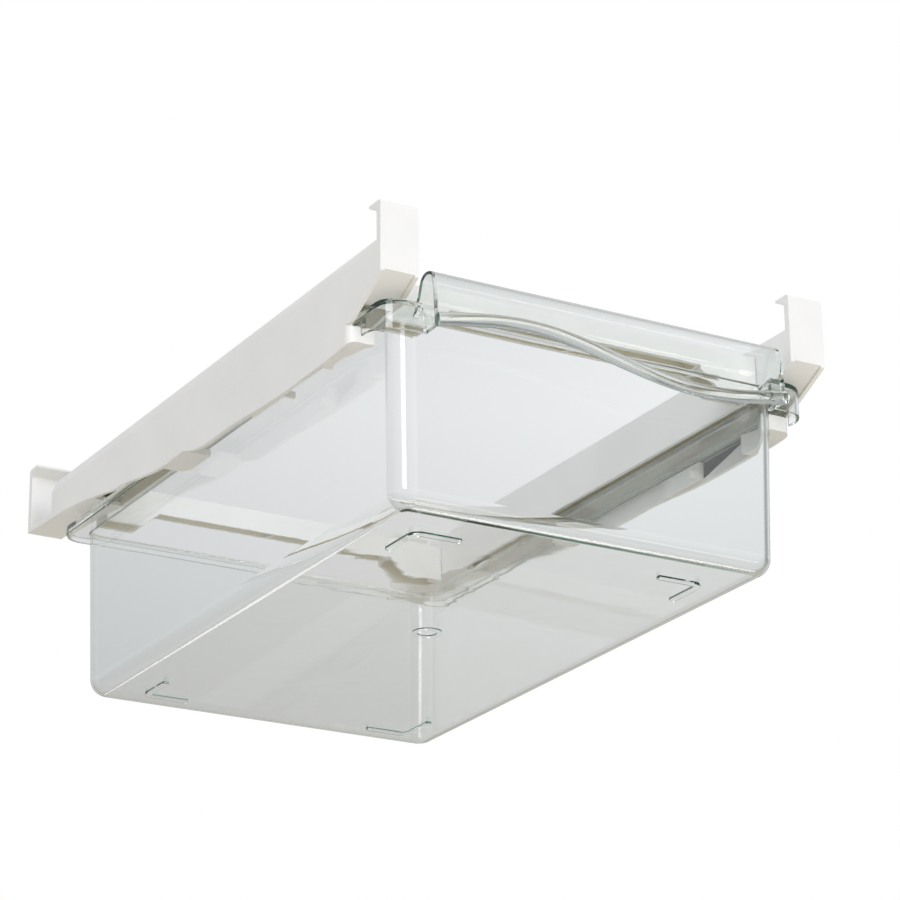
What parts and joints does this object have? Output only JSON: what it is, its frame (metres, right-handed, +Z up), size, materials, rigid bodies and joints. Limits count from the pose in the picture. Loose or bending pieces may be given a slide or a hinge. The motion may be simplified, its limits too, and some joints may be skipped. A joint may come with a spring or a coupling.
{
  "type": "fridge drawer organizer",
  "caption": "Under-shelf fridge organizer: a white frame hooks over a shelf's front and rear edges and carries a clear sliding drawer with a wavy pull.",
  "frame": {"origin": "centre of the whole part's footprint, in the plane of the drawer feet's undersides", "axes": "+X to the right across the shelf, +Y back along the drawer's slide, +Z up; the drawer pulls out towards -Y"},
  "size_m": [0.205, 0.3402, 0.1166],
  "materials": {
    "frame_white": "opaque warm white moulded plastic with a soft satin surface",
    "drawer_clear": "clear moulded polystyrene, glossy, with a faint green tint that shows at its edges"
  },
  "bodies": {
    "frame": {"left_rail": "frame_white", "right_rail": "frame_white", "front_crossbar": "frame_white", "rear_crossbar": "frame_white"},
    "drawer": {"drawer": "drawer_clear"}
  },
  "joints": [
    {"name": "drawer_slide", "type": "slide", "parent": "frame", "child": "drawer", "axis": [0, -1, 0], "range_m": [-0.0034, 0.2]}
  ]
}
